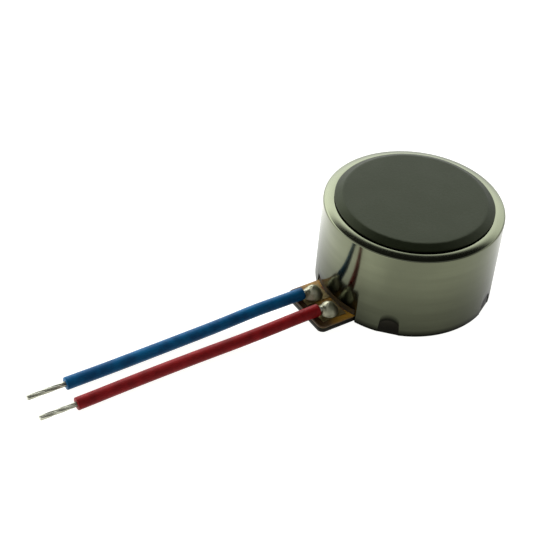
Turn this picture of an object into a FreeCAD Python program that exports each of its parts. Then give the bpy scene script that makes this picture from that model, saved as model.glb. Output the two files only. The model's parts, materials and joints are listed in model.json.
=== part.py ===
# Vibration coin motor: a brushed motor in a round steel can, with an off-centre rotor inside, a foam
# mounting pad on top and two short leads soldered to a flex tab at its foot.
# Units are millimetres. +Z is the shaft's axis, z = 0 is the underside, and the tab and leads leave
# along -X. The blue lead is on the +Y side and the red lead on the -Y side.
import FreeCAD, Part
import math
import os
import re
import Sketcher

DIMENSIONS = [
    # can
    ("can_radius", 5.0),
    ("can_height", 5.4),
    ("can_wall", 0.25),
    ("can_top", 0.3),
    ("can_crown_width", 0.5),
    ("can_crown_drop", 0.13),
    ("can_crown_round", 1.5),
    ("can_rim_round", 0.14),
    ("can_rim_inside", 0.18),
    # base plate, its tongue under the tab and its ears in the can's notches
    ("base_thickness", 0.3),
    ("tab_width", 3.4),
    ("tab_length", 1.8),
    ("tab_corner", 0.35),
    ("tab_notch_gap", 0.1),
    ("tab_notch_height", 0.85),
    ("ear_front_angle", 61.0),
    ("ear_rear_angle", 136.0),
    ("ear_notch_width", 1.4),
    ("ear_notch_height", 1.05),
    ("ear_gap", 0.1),
    ("ear_recess", 0.06),
    ("ear_root", 0.3),
    # flex circuit
    ("flex_glue", 0.04),
    ("flex_thickness", 0.12),
    ("flex_radius", 4.3),
    ("copper", 0.04),
    ("terminal_length", 1.5),
    ("terminal_width", 1.25),
    ("seal_outside", 0.1),
    ("seal_inside", 0.3),
    # solder and leads
    ("lead_half_pitch", 0.775),
    ("lead_start_height", 0.85),
    ("solder_offset", 0.72),
    ("solder_radius", 0.6),
    ("solder_height", 0.62),
    ("insulation_radius", 0.345),
    ("insulation_bore", 0.155),
    ("insulation_start", 1.42),
    ("insulation_end_blue", 15.6),
    ("insulation_end_red", 15.75),
    ("conductor_radius", 0.135),
    # fixed parts inside
    ("magnet_inner", 2.1),
    ("magnet_outer", 4.2),
    ("magnet_thickness", 1.5),
    ("shaft_radius", 0.4),
    ("shaft_seat", 0.2),
    ("collar_radius", 0.8),
    ("collar_top", 2.05),
    ("collar_gap", 0.1),
    ("washer_thickness", 0.1),
    ("upper_washer_thickness", 0.15),
    ("washer_radius", 0.78),
    ("washer_gap", 0.02),
    ("brush_offset", 1.15),
    ("brush_width", 0.45),
    ("brush_leaf", 0.1),
    ("brush_foot_back", 1.45),
    ("brush_foot_front", 0.75),
    ("brush_contact", 0.2),
    ("brush_tip", 0.55),
    ("brush_tip_drop", 0.1),
    ("brush_clearance", 0.02),
    # rotor
    ("bearing_clearance", 0.03),
    ("end_play", 0.03),
    ("bush_radius", 0.75),
    ("rotor_gap", 0.25),
    ("commutator_lift", 0.1),
    ("segment_inner", 0.95),
    ("segment_outer", 1.75),
    ("segment_angle", 52.0),
    ("segment_count", 6),
    ("board_thickness", 0.2),
    ("hub_radius", 1.6),
    ("coil_outer", 1.3),
    ("coil_inner", 0.55),
    ("coil_angle", 62.0),
    ("mould_wall", 0.15),
    ("weight_angle", 110.0),
    ("rotor_step", 0.4),
    ("cap_step", 0.45),
    # mounting pad
    ("pad_glue", 0.05),
    ("pad_thickness", 0.27),
    ("pad_radius", 4.42),
    ("pad_foot", 0.06),
    ("pad_shoulder", 0.4),
    ("pad_glue_radius", 4.3),
    ("pad_edge_round", 0.5),
    ("pad_foot_round", 0.05),
]

# Heights and radii that several pieces share, each worked out from the sheet's own values.
BASE_RADIUS = "can_radius - can_wall"
CAN_CEILING = "can_height - can_top"
FLEX_TOP = "base_thickness + flex_glue + flex_thickness"
COPPER_TOP = FLEX_TOP + " + copper"
WASHER_TOP = "collar_top + washer_thickness"
BUSH_BOTTOM = WASHER_TOP + " + end_play"
UPPER_WASHER_BOTTOM = CAN_CEILING + " - upper_washer_thickness"
BUSH_TOP = UPPER_WASHER_BOTTOM + " - end_play"
SEGMENT_BOTTOM = BUSH_BOTTOM + " + commutator_lift"
BOARD_BOTTOM = SEGMENT_BOTTOM + " + copper"
BOARD_TOP = BOARD_BOTTOM + " + board_thickness"
ROTOR_RADIUS = "can_radius - can_wall - rotor_gap"
COIL_CENTRE = ROTOR_RADIUS + " - mould_wall - coil_outer"
ROTOR_TOP = BUSH_TOP + " - rotor_step"
CAP_TOP = ROTOR_TOP + " - cap_step"
COIL_TOP = CAP_TOP + " - mould_wall"
TAB_REACH = "can_radius + tab_length"
SOLDER_PLACE = "can_radius + solder_offset"

# The leads' routes, from inside each solder joint to the bare tip: how far out from the can's wall,
# how far across towards +Y, and how high. Each comes straight off its joint, slopes down past the
# tab's end and lies on the surface that the motor stands on.
LEAD_ROUTES = {
    "blue": [(0.72, 0.775, 0.85), (2.60, 0.775, 0.85), (4.30, 1.00, 0.66), (6.20, 1.12, 0.42),
             (8.40, 1.14, 0.36), (10.80, 1.12, 0.355), (13.20, 1.09, 0.36), (15.50, 1.12, 0.355),
             (17.70, 1.12, 0.36)],
    "red": [(0.72, -0.775, 0.85), (2.60, -0.775, 0.85), (4.30, -0.66, 0.66), (6.20, -0.47, 0.42),
            (8.40, -0.38, 0.36), (10.80, -0.37, 0.355), (13.20, -0.40, 0.36), (15.55, -0.45, 0.355),
            (17.75, -0.45, 0.36)],
}
ARC_SHARE = 0.45
SIDES = {"blue": 1, "red": -1}

doc = FreeCAD.newDocument("CoinMotor")
sheet = doc.addObject("Spreadsheet::Sheet", "Dims")
for row, (alias, number) in enumerate(DIMENSIONS, start=1):
    sheet.set("A%d" % row, alias)
    sheet.set("B%d" % row, str(number))
    sheet.setAlias("B%d" % row, alias)
doc.recompute()

sub_parts = []


def size(expression):
    """Return the present value of an expression in the sheet's aliases."""
    return float(sheet.evalExpression(expression))


def bound(expression):
    """Return the expression with each alias written as the sheet's own."""
    return re.sub(r"\b([a-z][a-z0-9_]*)\b(?!\()", r"Dims.\1", expression)


def new_body(label):
    """Start a body for one sub-part and list it for export."""
    body = doc.addObject("PartDesign::Body", label)
    body.Label = label
    sub_parts.append(body)
    return body


def place(item, x="0", y="0", z="0"):
    """Tie an object's place to the sheet."""
    for axis, expression in (("x", x), ("y", y), ("z", z)):
        item.setExpression("Placement.Base." + axis, bound(expression))


def sketch_on(body, role, height="0", turn="0", forward="0"):
    """Add a sketch on one of the body's origin planes.

    On the XY plane a turn is about Z, and height raises the sketch. On the YZ plane a turn is about
    Z too, and the sketch then stands square to that direction, forward of the Z axis.
    """
    plane = next(item for item in body.Origin.OriginFeatures if item.Role == role)
    sketch = body.newObject("Sketcher::SketchObject", body.Label + "_sketch")
    sketch.AttachmentSupport = [(plane, "")]
    sketch.MapMode = "FlatFace"
    turn_axis = FreeCAD.Vector(0, 1, 0) if role == "YZ_Plane" else FreeCAD.Vector(0, 0, 1)
    turned = FreeCAD.Placement(FreeCAD.Vector(), FreeCAD.Rotation(turn_axis, size(turn)))
    sketch.AttachmentOffset = turned
    if turn != "0":
        sketch.setExpression("AttachmentOffset.Rotation.Angle", bound(turn))
    if forward != "0":
        sketch.setExpression("AttachmentOffset.Base.x", bound("(%s) * sin(%s)" % (forward, turn)))
        sketch.setExpression("AttachmentOffset.Base.z", bound("(%s) * cos(%s)" % (forward, turn)))
    else:
        sketch.setExpression("AttachmentOffset.Base.z", bound(height))
    doc.recompute()
    return sketch


def bind(sketch, constraint, expression):
    """Add a sized constraint and tie it to the sheet."""
    number = sketch.addConstraint(constraint)
    sketch.setExpression("Constraints[%d]" % number, bound(expression))


def fix_point(sketch, geometry, point, u, v):
    """Hold one point of the sketch's geometry at (u, v)."""
    bind(sketch, Sketcher.Constraint("DistanceX", -1, 1, geometry, point, size(u)), u)
    bind(sketch, Sketcher.Constraint("DistanceY", -1, 1, geometry, point, size(v)), v)


def outline(sketch, corners):
    """Draw a closed outline of straight lines through corners given as expressions."""
    points = [FreeCAD.Vector(size(u), size(v), 0) for u, v in corners]
    first = sketch.GeometryCount
    count = len(points)
    for index in range(count):
        sketch.addGeometry(Part.LineSegment(points[index], points[(index + 1) % count]), False)
    for index in range(count):
        following = first + (index + 1) % count
        sketch.addConstraint(Sketcher.Constraint("Coincident", first + index, 2, following, 1))
    for index, (u, v) in enumerate(corners):
        fix_point(sketch, first + index, 1, u, v)


def rectangle(sketch, left, right, low, high):
    """Draw a rectangle between two u and two v expressions."""
    outline(sketch, [(left, low), (right, low), (right, high), (left, high)])


def circle(sketch, radius, u="0", v="0"):
    """Draw a circle with its centre held at (u, v)."""
    centre = FreeCAD.Vector(size(u), size(v), 0)
    index = sketch.addGeometry(Part.Circle(centre, FreeCAD.Vector(0, 0, 1), size(radius)), False)
    bind(sketch, Sketcher.Constraint("Radius", index, size(radius)), radius)
    fix_point(sketch, index, 3, u, v)


def feature(body, kind, sketch, name, **lengths):
    """Add a sketch-based feature and tie its sizes to the sheet."""
    item = body.newObject("PartDesign::" + kind, body.Label + "_" + name)
    item.Profile = (sketch, [""])
    for key, expression in lengths.items():
        setattr(item, key, size(expression))
        item.setExpression(key, bound(expression))
    sketch.Visibility = False
    doc.recompute()
    return item


def cut_feature(body, kind, sketch, name, **lengths):
    """Add a cutting feature and make sure that it takes material away."""
    before = body.Shape.Volume
    item = feature(body, kind, sketch, name, **lengths)
    if body.Shape.Volume >= before - 1e-6:
        item.Reversed = not item.Reversed
        doc.recompute()
    if body.Shape.Volume >= before - 1e-6:
        raise RuntimeError("%s cuts nothing" % item.Label)
    return item


def revolve(body, corners, angle="360", name="turned"):
    """Turn an outline in the XZ plane about the body's Z axis, half each way of that plane."""
    sketch = sketch_on(body, "XZ_Plane")
    outline(sketch, corners)
    item = body.newObject("PartDesign::Revolution", body.Label + "_" + name)
    item.Profile = (sketch, [""])
    item.ReferenceAxis = (sketch, ["V_Axis"])
    item.Midplane = True
    item.Angle = size(angle)
    item.setExpression("Angle", bound(angle))
    doc.recompute()
    return item


def edges_at(shape, test):
    """Return the names of the shape's edges that pass the test."""
    return ["Edge%d" % number for number, edge in enumerate(shape.Edges, start=1) if test(edge)]


def round_circle(body, radius, height, amount, kind="Fillet"):
    """Round or chamfer the full circles of a given radius at a given height."""
    def is_rim(edge):
        curve = edge.Curve
        if not isinstance(curve, Part.Circle):
            return False
        level = abs(edge.CenterOfMass.z - size(height)) < 1e-4
        return level and abs(curve.Radius - size(radius)) < 1e-4
    return dress_edges(body, is_rim, amount, kind)


def dress_edges(body, test, amount, kind="Fillet"):
    """Add a fillet or chamfer on the edges of the body's tip that pass the test."""
    tip = body.Tip
    names = edges_at(tip.Shape, test)
    if not names:
        raise RuntimeError("%s has no such edge" % body.Label)
    item = body.newObject("PartDesign::" + kind, "%s_%s" % (body.Label, kind.lower()))
    item.Base = (tip, names)
    key = "Radius" if kind == "Fillet" else "Size"
    setattr(item, key, size(amount))
    item.setExpression(key, bound(amount))
    doc.recompute()
    return item


def mirror_across_xz(body, originals):
    """Repeat features on the other side of the XZ plane."""
    plane = next(item for item in body.Origin.OriginFeatures if item.Role == "XZ_Plane")
    mirror = body.newObject("PartDesign::Mirrored", body.Label + "_mirrored")
    mirror.Originals = originals
    mirror.MirrorPlane = (plane, [""])
    body.Tip = mirror
    doc.recompute()
    return mirror


def ring(label, inner, outer, bottom, top):
    """Make a plain round ring, or a disc where inner is 0, as its own body."""
    body = new_body(label)
    revolve(body, [(inner, bottom), (outer, bottom), (outer, top), (inner, top)])
    return body


def make_can():
    """Deep-drawn cup, open below, with a notch for the tab and four for the base plate's ears."""
    can = new_body("can")
    revolve(can, [("0", CAN_CEILING), (BASE_RADIUS, CAN_CEILING), (BASE_RADIUS, "0"),
                  ("can_radius", "0"), ("can_radius", "can_height - can_crown_drop"),
                  ("can_radius - can_crown_width", "can_height"), ("0", "can_height")])
    round_circle(can, "can_radius - can_crown_width", "can_height", "can_crown_round")
    round_circle(can, "can_radius", "can_height - can_crown_drop", "can_rim_round")
    round_circle(can, BASE_RADIUS, CAN_CEILING, "can_rim_inside")

    tab_notch = sketch_on(can, "YZ_Plane")
    half_width = "(tab_width / 2 + tab_notch_gap)"
    rectangle(tab_notch, "-" + half_width, half_width, "-1", "tab_notch_height")
    cut_feature(can, "Pocket", tab_notch, "tab_notch", Length="can_radius + 1")

    notches = []
    for name, angle in (("front", "ear_front_angle"), ("rear", "ear_rear_angle")):
        sketch = sketch_on(can, "YZ_Plane", turn=angle + " + 180")
        arch(sketch, "ear_notch_width", "-1", "ear_notch_height")
        notches.append(cut_feature(can, "Pocket", sketch, name + "_notch", Length="can_radius + 1"))
    mirror_across_xz(can, notches)


def arch(sketch, width, low, high):
    """Draw a round-topped outline from a low edge up to the crown of its arch."""
    half = size(width) / 2
    shoulder_height = "%s - (%s) / 2" % (high, width)
    shoulder = size(shoulder_height)
    left_low = FreeCAD.Vector(-half, size(low), 0)
    right_low = FreeCAD.Vector(half, size(low), 0)
    right_high = FreeCAD.Vector(half, shoulder, 0)
    left_high = FreeCAD.Vector(-half, shoulder, 0)
    round_top = Part.Circle(FreeCAD.Vector(0, shoulder, 0), FreeCAD.Vector(0, 0, 1), half)
    sketch.addGeometry(Part.LineSegment(left_low, right_low), False)
    sketch.addGeometry(Part.LineSegment(right_low, right_high), False)
    sketch.addGeometry(Part.ArcOfCircle(round_top, 0.0, math.pi), False)
    sketch.addGeometry(Part.LineSegment(left_high, left_low), False)
    sketch.addConstraint(Sketcher.Constraint("Coincident", 0, 2, 1, 1))
    sketch.addConstraint(Sketcher.Constraint("Coincident", 1, 2, 2, 1))
    sketch.addConstraint(Sketcher.Constraint("Coincident", 2, 2, 3, 1))
    sketch.addConstraint(Sketcher.Constraint("Coincident", 3, 2, 0, 1))
    fix_point(sketch, 0, 1, "-(%s) / 2" % width, low)
    fix_point(sketch, 0, 2, "(%s) / 2" % width, low)
    fix_point(sketch, 1, 2, "(%s) / 2" % width, shoulder_height)
    fix_point(sketch, 3, 1, "-(%s) / 2" % width, shoulder_height)
    bind(sketch, Sketcher.Constraint("DistanceY", -1, 1, 2, 3, shoulder), shoulder_height)


def round_tab_end(body):
    """Round the two upright corners at the tab's outer end."""
    def is_corner(edge):
        middle = edge.CenterOfMass
        upright = abs(edge.BoundBox.ZLength - edge.Length) < 1e-6
        return upright and abs(middle.x + size(TAB_REACH)) < 1e-4
    dress_edges(body, is_corner, "tab_corner")


def add_strip(body, height, thickness):
    """Add the tab's straight strip, from the shaft's axis out to the tab's end."""
    strip = sketch_on(body, "XY_Plane", height)
    rectangle(strip, "-(%s)" % TAB_REACH, "0", "-tab_width / 2", "tab_width / 2")
    feature(body, "Pad", strip, "strip", Length=thickness)


def make_base_plate():
    """Stamped disc in the can's mouth, with the tongue, four bent-up ears and the shaft's blind bore."""
    plate = new_body("base_plate")
    disc = sketch_on(plate, "XY_Plane")
    circle(disc, BASE_RADIUS)
    feature(plate, "Pad", disc, "disc", Length="base_thickness")
    add_strip(plate, "0", "base_thickness")
    round_tab_end(plate)
    ears = []
    for name, angle in (("front", "ear_front_angle"), ("rear", "ear_rear_angle")):
        sketch = sketch_on(plate, "YZ_Plane", turn=angle, forward=BASE_RADIUS + " - ear_root")
        arch(sketch, "ear_notch_width - 2 * ear_gap", "0", "ear_notch_height - ear_gap")
        ears.append(feature(plate, "Pad", sketch, name + "_ear",
                            Length="can_wall + ear_root - ear_recess"))
    mirror_across_xz(plate, ears)
    bore = sketch_on(plate, "XY_Plane", "base_thickness")
    circle(bore, "shaft_radius")
    cut_feature(plate, "Pocket", bore, "shaft_bore", Length="shaft_seat")


def make_flex_layer(label, bottom, thickness):
    """Make one layer of the flex: a disc inside the can joined to the tab's strip."""
    layer = new_body(label)
    disc = sketch_on(layer, "XY_Plane", bottom)
    circle(disc, "flex_radius")
    feature(layer, "Pad", disc, "disc", Length=thickness)
    add_strip(layer, bottom, thickness)
    round_tab_end(layer)
    hole = sketch_on(layer, "XY_Plane", "%s + %s" % (bottom, thickness))
    circle(hole, "collar_radius + collar_gap")
    cut_feature(layer, "Pocket", hole, "hole", Length=thickness)


def make_copper_pads(label, left, right, low, high):
    """Make a pair of copper pads on the flex, one each side of the XZ plane."""
    pads = new_body(label)
    sketch = sketch_on(pads, "XY_Plane", FLEX_TOP)
    rectangle(sketch, left, right, low, high)
    pad = feature(pads, "Pad", sketch, "pad", Length="copper")
    mirror_across_xz(pads, [pad])


def make_flex():
    """Adhesive, polyimide circuit, its bare copper pads and the bead that seals the notch."""
    make_flex_layer("flex_adhesive", "base_thickness", "flex_glue")
    make_flex_layer("flex_circuit", "base_thickness + flex_glue", "flex_thickness")
    make_copper_pads("terminal_pads", "-(%s + terminal_length / 2)" % SOLDER_PLACE,
                     "-(%s - terminal_length / 2)" % SOLDER_PLACE,
                     "lead_half_pitch - terminal_width / 2", "lead_half_pitch + terminal_width / 2")
    make_copper_pads("brush_pads", "-brush_foot_back", "-brush_foot_front",
                     "brush_offset - brush_width / 2", "brush_offset + brush_width / 2")
    seal = new_body("tab_seal")
    sketch = sketch_on(seal, "XY_Plane", COPPER_TOP)
    rectangle(sketch, "-(can_radius + seal_outside)", "-(can_radius - can_wall - seal_inside)",
              "-(tab_width / 2)", "tab_width / 2")
    feature(seal, "Pad", sketch, "bead", Length="tab_notch_height - (%s)" % COPPER_TOP)
    under = sketch_on(seal, "XY_Plane", FLEX_TOP)
    rectangle(under, "-(%s - terminal_length / 2)" % SOLDER_PLACE, "-(can_radius - can_wall - seal_inside)",
              "-(tab_width / 2)", "tab_width / 2")
    feature(seal, "Pad", under, "foot", Length="copper")


def make_solder_joint(colour):
    """Make the solder dome over one lead's conductor, with the conductor's own hole in it."""
    joint = new_body("solder_joint_" + colour)
    place(joint, "-(%s)" % SOLDER_PLACE, "%d * lead_half_pitch" % SIDES[colour])
    radius = size("solder_radius")
    height = size("solder_height")
    foot = size(COPPER_TOP)
    ball = (radius ** 2 + height ** 2) / (2 * height)
    centre = FreeCAD.Vector(0, foot + height - ball, 0)
    start = math.atan2(foot - centre.y, radius)
    sketch = sketch_on(joint, "XZ_Plane")
    foot_middle = FreeCAD.Vector(0, foot, 0)
    top = FreeCAD.Vector(0, foot + height, 0)
    round_side = Part.Circle(centre, FreeCAD.Vector(0, 0, 1), ball)
    sketch.addGeometry(Part.LineSegment(foot_middle, FreeCAD.Vector(radius, foot, 0)), False)
    sketch.addGeometry(Part.ArcOfCircle(round_side, start, math.pi / 2), False)
    sketch.addGeometry(Part.LineSegment(top, foot_middle), False)
    sketch.addConstraint(Sketcher.Constraint("Coincident", 0, 2, 1, 1))
    sketch.addConstraint(Sketcher.Constraint("Coincident", 1, 2, 2, 1))
    sketch.addConstraint(Sketcher.Constraint("Coincident", 2, 2, 0, 1))
    fix_point(sketch, 0, 1, "0", COPPER_TOP)
    fix_point(sketch, 0, 2, "solder_radius", COPPER_TOP)
    fix_point(sketch, 2, 1, "0", COPPER_TOP + " + solder_height")
    sketch.addConstraint(Sketcher.Constraint("PointOnObject", 1, 3, -2))
    dome = joint.newObject("PartDesign::Revolution", joint.Label + "_dome")
    dome.Profile = (sketch, [""])
    dome.ReferenceAxis = (sketch, ["V_Axis"])
    dome.Angle = 360
    doc.recompute()
    hole = sketch_on(joint, "YZ_Plane")
    circle(hole, "conductor_radius", "0", "lead_start_height")
    cut_feature(joint, "Pocket", hole, "conductor_hole", Length="solder_radius + 1")


def route_wire(points):
    """Join a route's points by straight runs and tangent arcs, and return the wire and its radii."""
    wall = size("can_radius")
    corners = [FreeCAD.Vector(-(wall + out), across, up) for out, across, up in points]
    edges = []
    radii = []
    start = corners[0]
    for before, corner, after in zip(corners, corners[1:], corners[2:]):
        inward = (corner - before).normalize()
        outward = (after - corner).normalize()
        half_turn = inward.getAngle(outward) / 2
        shorter = min((corner - before).Length, (after - corner).Length)
        trim = ARC_SHARE * shorter
        radius = trim / math.tan(half_turn)
        bisector = (outward - inward).normalize()
        middle = corner + bisector * (radius / math.cos(half_turn) - radius)
        arc_start = corner - inward * trim
        arc_end = corner + outward * trim
        edges.append(Part.LineSegment(start, arc_start).toShape())
        edges.append(Part.Arc(arc_start, middle, arc_end).toShape())
        radii.append(radius)
        start = arc_end
    edges.append(Part.LineSegment(start, corners[-1]).toShape())
    return Part.Wire(edges), radii


def sweep(name, route, section_radius):
    """Sweep a circle of a sheet-bound radius along a lead's route."""
    section = doc.addObject("Part::Circle", name + "_section")
    section.Radius = size(section_radius)
    section.setExpression("Radius", bound(section_radius))
    first = route.Shape.Edges[0]
    heading = first.tangentAt(first.FirstParameter)
    start = route.Shape.Vertexes[0].Point
    section.Placement = FreeCAD.Placement(start, FreeCAD.Rotation(FreeCAD.Vector(0, 0, 1), heading))
    tube = doc.addObject("Part::Sweep", name)
    tube.Sections = [section]
    tube.Spine = (route, ["Edge%d" % number for number in range(1, len(route.Shape.Edges) + 1)])
    tube.Solid = True
    tube.Frenet = False
    doc.recompute()
    expected = math.pi * size(section_radius) ** 2 * route.Shape.Length
    print("%s volume %.4f, section times length %.4f" % (name, tube.Shape.Volume, expected))
    return tube


def make_lead(colour):
    """Make one lead: a tinned conductor in a coloured insulation, stripped at both ends."""
    wire, radii = route_wire(LEAD_ROUTES[colour])
    print("%s lead arc radii: %s" % (colour, ", ".join("%.1f" % radius for radius in radii)))
    route = doc.addObject("Part::Feature", "route_" + colour)
    route.Shape = wire
    conductor = sweep("lead_conductor_" + colour, route, "conductor_radius")
    sub_parts.append(conductor)

    jacket = sweep("jacket_" + colour, route, "insulation_radius")
    bore = sweep("bore_" + colour, route, "insulation_bore")
    sleeve = doc.addObject("Part::Cut", "sleeve_" + colour)
    sleeve.Base = jacket
    sleeve.Tool = bore
    stretch = doc.addObject("Part::Box", "stretch_" + colour)
    end = "insulation_end_" + colour
    stretch.setExpression("Length", bound(end + " - insulation_start"))
    stretch.setExpression("Width", bound("2 * can_radius"))
    stretch.setExpression("Height", bound("2 * can_height"))
    place(stretch, "-(can_radius + %s)" % end, "-can_radius", "-can_height")
    doc.recompute()
    insulation = doc.addObject("Part::Common", "lead_insulation_" + colour)
    insulation.Label = "lead_insulation_" + colour
    insulation.Base = sleeve
    insulation.Tool = stretch
    sub_parts.append(insulation)


def make_brush(colour):
    """Make one leaf brush: a foot on its copper pad and an arm that rises to the commutator."""
    brush = new_body("brush_" + colour)
    place(brush, "0", "%d * brush_offset" % SIDES[colour])
    contact = "%s - brush_clearance" % SEGMENT_BOTTOM
    below = [("-brush_foot_back", COPPER_TOP), ("-brush_foot_front", COPPER_TOP),
             ("brush_contact", contact + " - brush_leaf"),
             ("brush_tip", contact + " - brush_tip_drop - brush_leaf")]
    above = [("brush_tip", contact + " - brush_tip_drop"), ("brush_contact", contact),
             ("-brush_foot_front", COPPER_TOP + " + brush_leaf"),
             ("-brush_foot_back", COPPER_TOP + " + brush_leaf")]
    sketch = sketch_on(brush, "XZ_Plane", "-brush_width / 2")
    outline(sketch, below + above)
    feature(brush, "Pad", sketch, "leaf", Length="brush_width")


def make_stator():
    """Magnet, shaft, spacer, washers and brushes: everything inside that stands still."""
    magnet = ring("magnet_ring", "magnet_inner", "magnet_outer", FLEX_TOP, FLEX_TOP + " + magnet_thickness")
    magnet_top = FLEX_TOP + " + magnet_thickness"
    round_circle(magnet, "magnet_outer", magnet_top, "flex_thickness", "Chamfer")
    ring("shaft", "0", "shaft_radius", "base_thickness - shaft_seat", CAN_CEILING)
    ring("shaft_collar", "shaft_radius", "collar_radius", "base_thickness", "collar_top")
    ring("lower_thrust_washer", "shaft_radius + washer_gap", "washer_radius", "collar_top", WASHER_TOP)
    ring("upper_thrust_washer", "shaft_radius + washer_gap", "washer_radius", UPPER_WASHER_BOTTOM,
         CAN_CEILING)
    for colour in SIDES:
        make_brush(colour)


def make_commutator_segments():
    """Copper segments on the underside of the rotor's board, evenly spaced about the shaft."""
    segments = new_body("commutator_segments")
    corners = [("segment_inner", SEGMENT_BOTTOM), ("segment_outer", SEGMENT_BOTTOM),
               ("segment_outer", BOARD_BOTTOM), ("segment_inner", BOARD_BOTTOM)]
    first = revolve(segments, corners, "segment_angle", "segment")
    axis = next(item for item in segments.Origin.OriginFeatures if item.Role == "Z_Axis")
    pattern = segments.newObject("PartDesign::PolarPattern", "commutator_segments_pattern")
    pattern.Originals = [first]
    pattern.Axis = (axis, [""])
    pattern.Angle = 360
    pattern.Occurrences = int(size("segment_count"))
    pattern.setExpression("Occurrences", bound("segment_count"))
    segments.Tip = pattern
    doc.recompute()


def make_rotor_mould():
    """Moulded half-round frame with a hub, and under its cap an annular pocket for each coil."""
    mould = new_body("rotor_mould")
    revolve(mould, [("bush_radius", BOARD_TOP), (ROTOR_RADIUS, BOARD_TOP), (ROTOR_RADIUS, CAP_TOP),
                    ("bush_radius", CAP_TOP)], "360 - weight_angle", "frame")
    revolve(mould, [("bush_radius", BOARD_TOP), ("hub_radius", BOARD_TOP), ("hub_radius", ROTOR_TOP),
                    ("bush_radius", ROTOR_TOP)], "360", "hub")
    pocket = sketch_on(mould, "XY_Plane", BOARD_TOP)
    across = "(%s) * cos(coil_angle)" % COIL_CENTRE
    aside = "(%s) * sin(coil_angle)" % COIL_CENTRE
    circle(pocket, "coil_outer", across, aside)
    circle(pocket, "coil_inner", across, aside)
    cut = cut_feature(mould, "Pocket", pocket, "coil_pocket", Length="%s - (%s)" % (COIL_TOP, BOARD_TOP))
    mirror_across_xz(mould, [cut])


def make_rotor():
    """Bush, board, commutator, coils, weight and the moulding that joins them."""
    ring("bearing_bush", "shaft_radius + bearing_clearance", "bush_radius", BUSH_BOTTOM, BUSH_TOP)
    ring("rotor_board", "bush_radius", ROTOR_RADIUS, BOARD_BOTTOM, BOARD_TOP)
    make_commutator_segments()
    make_rotor_mould()
    for number, side in ((1, "1"), (2, "-1")):
        coil = ring("coil_%d" % number, "coil_inner", "coil_outer", BOARD_TOP, COIL_TOP)
        place(coil, "(%s) * cos(coil_angle)" % COIL_CENTRE,
              "%s * (%s) * sin(coil_angle)" % (side, COIL_CENTRE))
    weight = new_body("counterweight")
    revolve(weight, [("-hub_radius", BOARD_TOP), ("-(%s)" % ROTOR_RADIUS, BOARD_TOP),
                     ("-(%s)" % ROTOR_RADIUS, ROTOR_TOP), ("-hub_radius", ROTOR_TOP)], "weight_angle")


def make_mounting_pad():
    """Foam disc with a sloped, softened shoulder, on its film of adhesive."""
    ring("pad_adhesive", "0", "pad_glue_radius", "can_height", "can_height + pad_glue")
    top = "can_height + pad_glue + pad_thickness"
    low = "can_height + pad_glue"
    foam = new_body("mounting_pad")
    revolve(foam, [("0", low), ("pad_radius", low), ("pad_radius", low + " + pad_foot"),
                   ("pad_radius - pad_shoulder", top), ("0", top)])
    round_circle(foam, "pad_radius - pad_shoulder", top, "pad_edge_round")
    round_circle(foam, "pad_radius", low + " + pad_foot", "pad_foot_round")


def check_document():
    """Stop if any object failed or any sub-part has no valid solid."""
    doc.recompute()
    for item in doc.Objects:
        bad = [state for state in item.State if state in ("Invalid", "Error")]
        if bad:
            raise RuntimeError("%s is %s" % (item.Label, ", ".join(bad)))
    for part in sub_parts:
        shape = part.Shape
        if shape.isNull() or not shape.isValid() or not shape.Solids:
            raise RuntimeError("%s has no valid solid" % part.Label)


def write_parts():
    """Write each sub-part's shape to its own file."""
    os.makedirs("parts", exist_ok=True)
    for part in sub_parts:
        part.Shape.exportStep(os.path.join("parts", part.Label + ".step"))
        box = part.Shape.BoundBox
        print("%-24s solids %d volume %8.3f z %6.3f to %6.3f" % (
            part.Label, len(part.Shape.Solids), part.Shape.Volume, box.ZMin, box.ZMax))


make_can()
make_base_plate()
make_flex()
for lead_colour in SIDES:
    make_solder_joint(lead_colour)
    make_lead(lead_colour)
make_stator()
make_rotor()
make_mounting_pad()
check_document()
write_parts()
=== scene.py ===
"""Looks for a coin vibration motor: a steel can on a stamped base, a film tab with two leads, and the works inside.

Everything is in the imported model's frame: the shaft stands on +Z from the underside at z = 0, and the tab and leads
leave along -X. Meshes are in metres; the sizes in the classes are in millimetres, and MM turns them into metres.
"""
import json
import logging
from dataclasses import dataclass, field
from enum import Enum
from math import cos, pi, radians, sin, sqrt, tau
from typing import Dict, List, Optional, Sequence, Tuple, Union

import bmesh
import bpy
import numpy as np
from mathutils import Matrix, Vector

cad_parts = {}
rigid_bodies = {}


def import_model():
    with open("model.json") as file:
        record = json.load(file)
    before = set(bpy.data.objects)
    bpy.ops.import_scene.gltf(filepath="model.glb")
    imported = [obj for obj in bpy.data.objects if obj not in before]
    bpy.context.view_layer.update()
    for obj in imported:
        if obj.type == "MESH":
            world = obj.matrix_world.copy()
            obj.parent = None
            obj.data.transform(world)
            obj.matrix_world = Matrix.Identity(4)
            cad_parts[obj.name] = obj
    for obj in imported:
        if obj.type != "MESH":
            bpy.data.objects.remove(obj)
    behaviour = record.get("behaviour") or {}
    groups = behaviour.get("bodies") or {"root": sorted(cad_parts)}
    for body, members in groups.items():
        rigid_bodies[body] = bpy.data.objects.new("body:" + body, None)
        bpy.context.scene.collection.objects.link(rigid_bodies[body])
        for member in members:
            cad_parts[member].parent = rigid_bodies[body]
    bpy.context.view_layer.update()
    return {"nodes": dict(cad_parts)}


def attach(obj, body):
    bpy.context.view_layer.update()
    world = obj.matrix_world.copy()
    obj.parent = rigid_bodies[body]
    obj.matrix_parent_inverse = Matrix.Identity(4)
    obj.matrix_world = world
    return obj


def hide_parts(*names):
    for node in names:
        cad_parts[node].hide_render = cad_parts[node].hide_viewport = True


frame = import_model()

MM = 0.001
MERGE = 1e-7             # metres: points nearer than this become one
STATOR = "stator"
ROTOR = "rotor"
LOG = logging.getLogger("coin_motor")

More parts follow.
